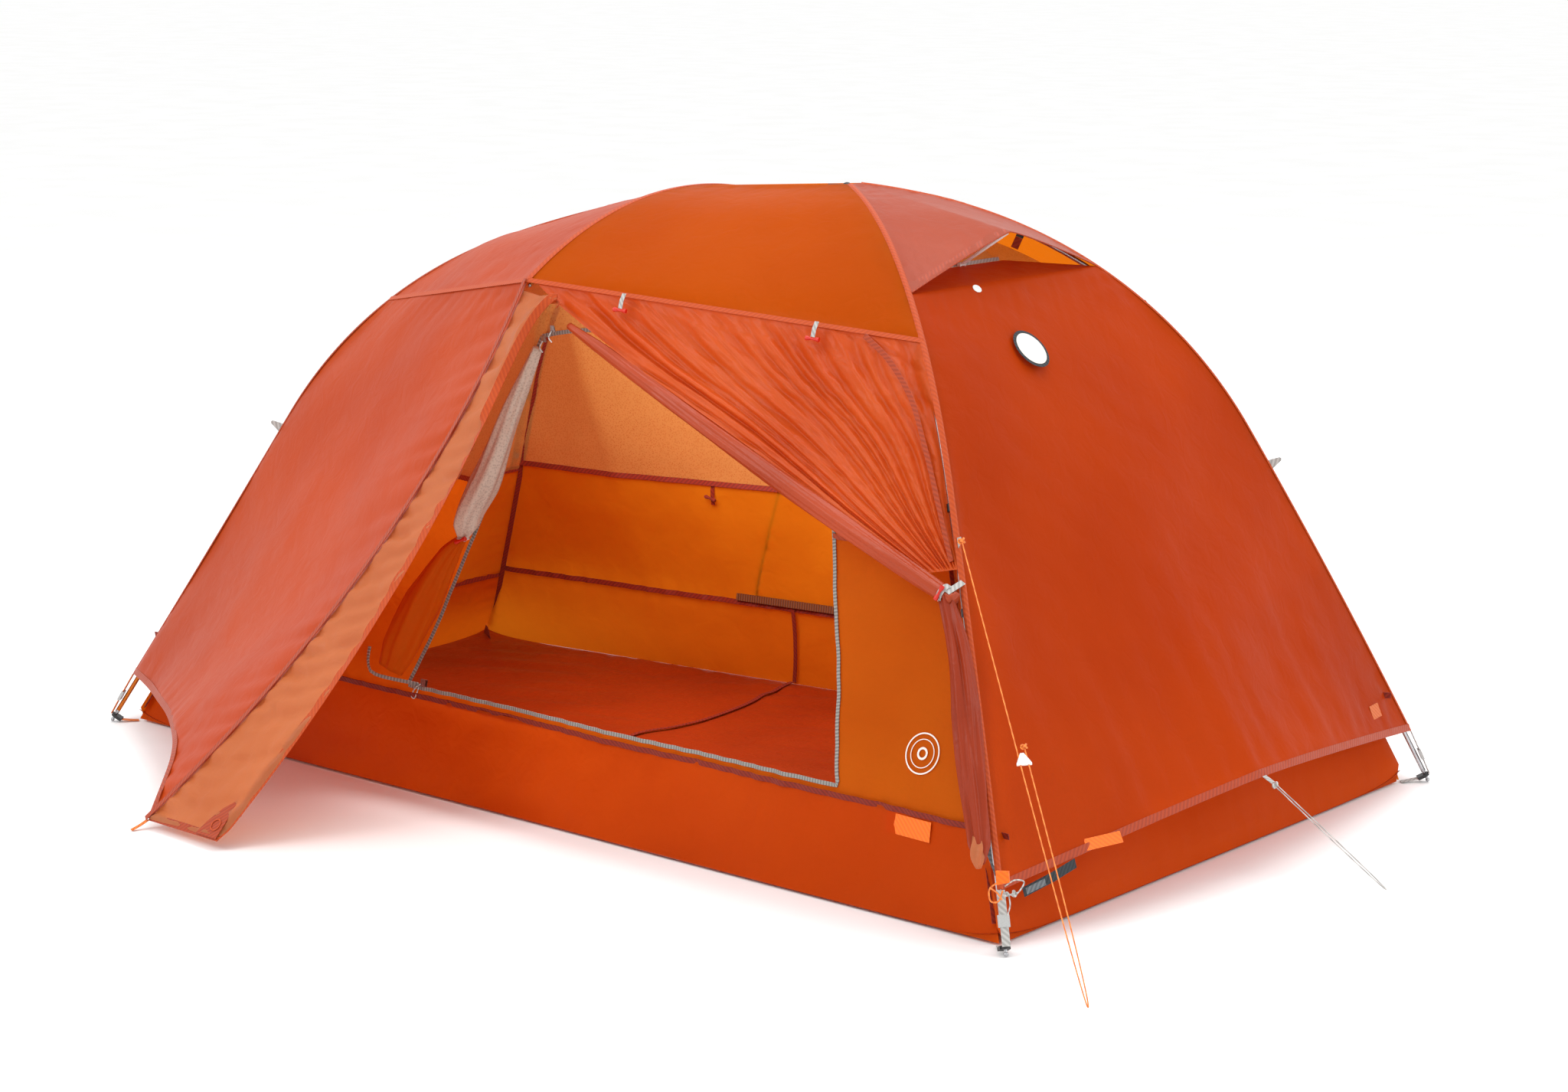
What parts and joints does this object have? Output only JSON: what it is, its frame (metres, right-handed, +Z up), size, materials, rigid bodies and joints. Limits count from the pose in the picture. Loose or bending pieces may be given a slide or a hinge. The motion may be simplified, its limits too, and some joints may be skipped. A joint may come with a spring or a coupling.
{
  "type": "tent",
  "caption": "Two-person ridge tent: mesh and cloth inner tent clipped inside a hubbed pole frame, under a flysheet with an open rolled-back vestibule.",
  "frame": {"origin": "middle of the floor sheet's underside, on the ground", "axes": "+X towards the wide head end, -Y towards the front with the open doorway, +Z up"},
  "size_m": [2.6667, 2.2589, 1.1389],
  "materials": {
    "pole_silver": "anodised, satin",
    "pole_orange": "orange anodised, satin",
    "hub_black": "moulded, matt",
    "tip_metal": "bright",
    "ferrule_metal": "plain",
    "shock_cord": "braided elastic",
    "fly_roof_cloth": "coated ripstop nylon",
    "fly_end_cloth": "coated ripstop nylon",
    "vestibule_cloth": "coated ripstop nylon",
    "inner_cloth": "ripstop nylon",
    "inner_mesh": "fine mesh",
    "floor_cloth": "coated nylon",
    "zip_tape": "coil zip on woven tape",
    "zip_metal": "satin",
    "grey_webbing": "woven webbing",
    "dark_webbing": "woven webbing",
    "grey_plastic": "moulded",
    "red_plastic": "moulded",
    "white_plastic": "moulded",
    "orange_cord": "braided cord",
    "grey_cord": "braided cord",
    "badge_print": "printed"
  },
  "bodies": {
    "tent": {"back_door": "inner_cloth", "back_door_zip": "zip_tape", "back_mesh": "inner_mesh", "back_vestibule_foot": "vestibule_cloth", "back_vestibule_head": "vestibule_cloth", "back_wall": "inner_cloth", "bathtub_walls": "inner_cloth", "brow_clamp": "hub_black", "brow_pole": "pole_silver", "clip_tabs": "dark_webbing", "end_meshes": "inner_mesh", "end_walls": "inner_cloth", "floor": "floor_cloth", "floor_straps": "grey_webbing", "fly_adjusters": "grey_plastic", "fly_badge": "badge_print", "fly_loops": "dark_webbing", "fly_pole_wraps": "dark_webbing", "fly_roof_back": "fly_roof_cloth", "fly_roof_front": "fly_roof_cloth", "fly_straps": "grey_webbing", "foot_back_leg": "pole_orange", "foot_fly_panel": "fly_end_cloth", "foot_front_leg": "pole_orange", "front_door_roll": "inner_mesh", "front_door_zip": "zip_tape", "front_mesh": "inner_mesh", "front_vestibule_foot": "vestibule_cloth", "front_vestibule_head": "vestibule_cloth", "front_wall": "inner_cloth", "guy_tabs": "dark_webbing", "guyline": "orange_cord", "head_back_leg": "pole_silver", "head_fly_panel": "fly_end_cloth", "head_front_leg": "pole_silver", "hem_cord": "grey_cord", "hem_loops": "grey_webbing", "hubs": "hub_black", "inner_roof": "inner_mesh", "pole_clips": "hub_black", "pole_ferrules": "ferrule_metal", "pole_tips": "tip_metal", "ridge_pole": "pole_silver", "shock_cords": "shock_cord", "storm_flap": "vestibule_cloth", "strut_pin": "white_plastic", "tied_bundle": "vestibule_cloth", "tip_cradles": "hub_black", "vent_hood": "fly_end_cloth", "vent_mesh": "inner_mesh"},
    "vent_strut_body": {"vent_strut": "white_plastic"},
    "door_slider_body": {"door_slider": "zip_metal"},
    "guyline_tensioner_body": {"guyline_tensioner": "white_plastic"},
    "roof_toggle_foot_body": {"roof_toggle_foot": "red_plastic"},
    "roof_toggle_head_body": {"roof_toggle_head": "red_plastic"},
    "tie_back_toggle_body": {"tie_back_toggle": "red_plastic"}
  },
  "joints": [
    {"name": "vent_strut_fold", "type": "hinge", "parent": "tent", "child": "vent_strut_body", "pos_m": [0.55494, 0, 1.00227], "axis": [0, 1, 0], "range_deg": [0, 36]},
    {"name": "door_slider_run", "type": "slide", "parent": "tent", "child": "door_slider_body", "axis": [0.9975, -0.0703, 0], "range_m": [0, 1]},
    {"name": "tensioner_run", "type": "slide", "parent": "tent", "child": "guyline_tensioner_body", "axis": [0.5601, -0.3912, -0.7303], "range_m": [0, 0.12]},
    {"name": "roof_toggle_foot_turn", "type": "hinge", "parent": "tent", "child": "roof_toggle_foot_body", "pos_m": [0.14527, -0.4637, 0.93191], "axis": [0.9865, 0.1485, -0.0693], "range_deg": [-60, 60]},
    {"name": "roof_toggle_head_turn", "type": "hinge", "parent": "tent", "child": "roof_toggle_head_body", "pos_m": [0.53393, -0.40761, 0.9078], "axis": [0.9865, 0.1485, -0.0693], "range_deg": [-60, 60]},
    {"name": "tie_back_toggle_turn", "type": "hinge", "parent": "tent", "child": "tie_back_toggle_body", "pos_m": [0.92153, -0.5662, 0.53922], "axis": [0.0327, -0.9628, 0.2682], "range_deg": [-35, 35]}
  ]
}
